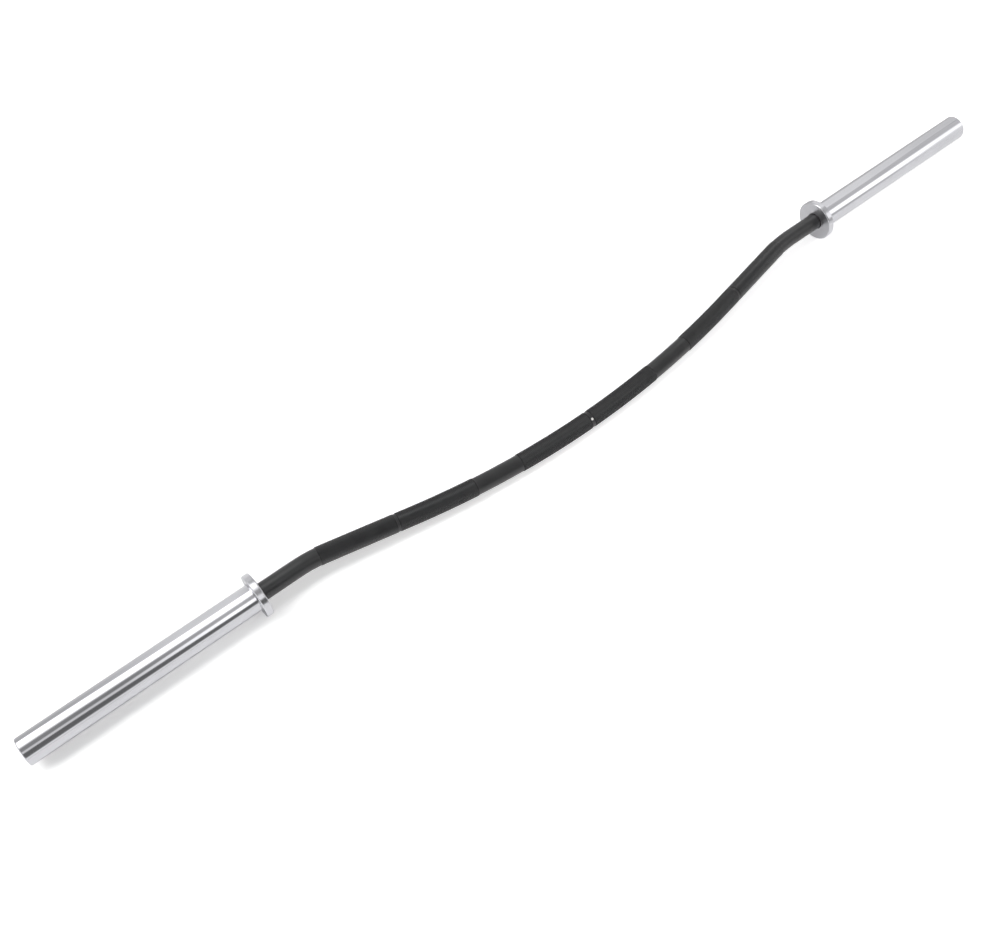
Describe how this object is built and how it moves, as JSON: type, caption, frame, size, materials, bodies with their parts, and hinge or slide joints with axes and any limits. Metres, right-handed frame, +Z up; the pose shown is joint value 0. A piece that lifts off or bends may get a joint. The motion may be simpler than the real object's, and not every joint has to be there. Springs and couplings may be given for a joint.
{
  "type": "buffalo bar",
  "caption": "Cambered barbell: a black knurled shaft that bows along its length, with a flanged collar and a freely turning chrome sleeve for weight plates at each end.",
  "frame": {"origin": "on the floor, under the middle of the bar's box, with the bar lying as it comes to rest on both collars and the middle of its camber", "axes": "+X along the bar and along both sleeves' common axis, from the left sleeve to the right one; -Y towards the middle of the camber; +Z up"},
  "size_m": [2.166, 0.125, 0.08],
  "materials": {
    "black_oxide": "black oxide on rolled steel, satin, knurled in three bands",
    "chrome": "hard chrome over turned steel, polished, with fine rings on the collars' faces",
    "bronze": "oil-filled sintered bronze, matt",
    "steel": "turned and zinc plated",
    "spring_steel": "stamped spring steel, phosphated, dark",
    "rubber": "moulded, matt black",
    "white_mark": "white, smooth"
  },
  "bodies": {
    "bar": {"shaft": "black_oxide", "centre_mark": "white_mark", "left_inner_thrust_washer": "steel", "left_outer_thrust_washer": "steel", "left_shaft_retaining_ring": "spring_steel", "right_inner_thrust_washer": "steel", "right_outer_thrust_washer": "steel", "right_shaft_retaining_ring": "spring_steel"},
    "left_end": {"left_sleeve": "chrome", "left_collar": "chrome", "left_dust_seal": "rubber", "left_inner_bushing": "bronze", "left_outer_bushing": "bronze", "left_end_cap": "steel", "left_end_cap_retaining_ring": "spring_steel"},
    "right_end": {"right_sleeve": "chrome", "right_collar": "chrome", "right_dust_seal": "rubber", "right_inner_bushing": "bronze", "right_outer_bushing": "bronze", "right_end_cap": "steel", "right_end_cap_retaining_ring": "spring_steel"}
  },
  "joints": [
    {"name": "left_sleeve_spin", "type": "hinge", "parent": "bar", "child": "left_end", "pos_m": [-0.655, 0.02247, 0.04], "axis": [1, 0, 0], "continuous": true},
    {"name": "right_sleeve_spin", "type": "hinge", "parent": "bar", "child": "right_end", "pos_m": [0.655, 0.02247, 0.04], "axis": [1, 0, 0], "continuous": true}
  ]
}
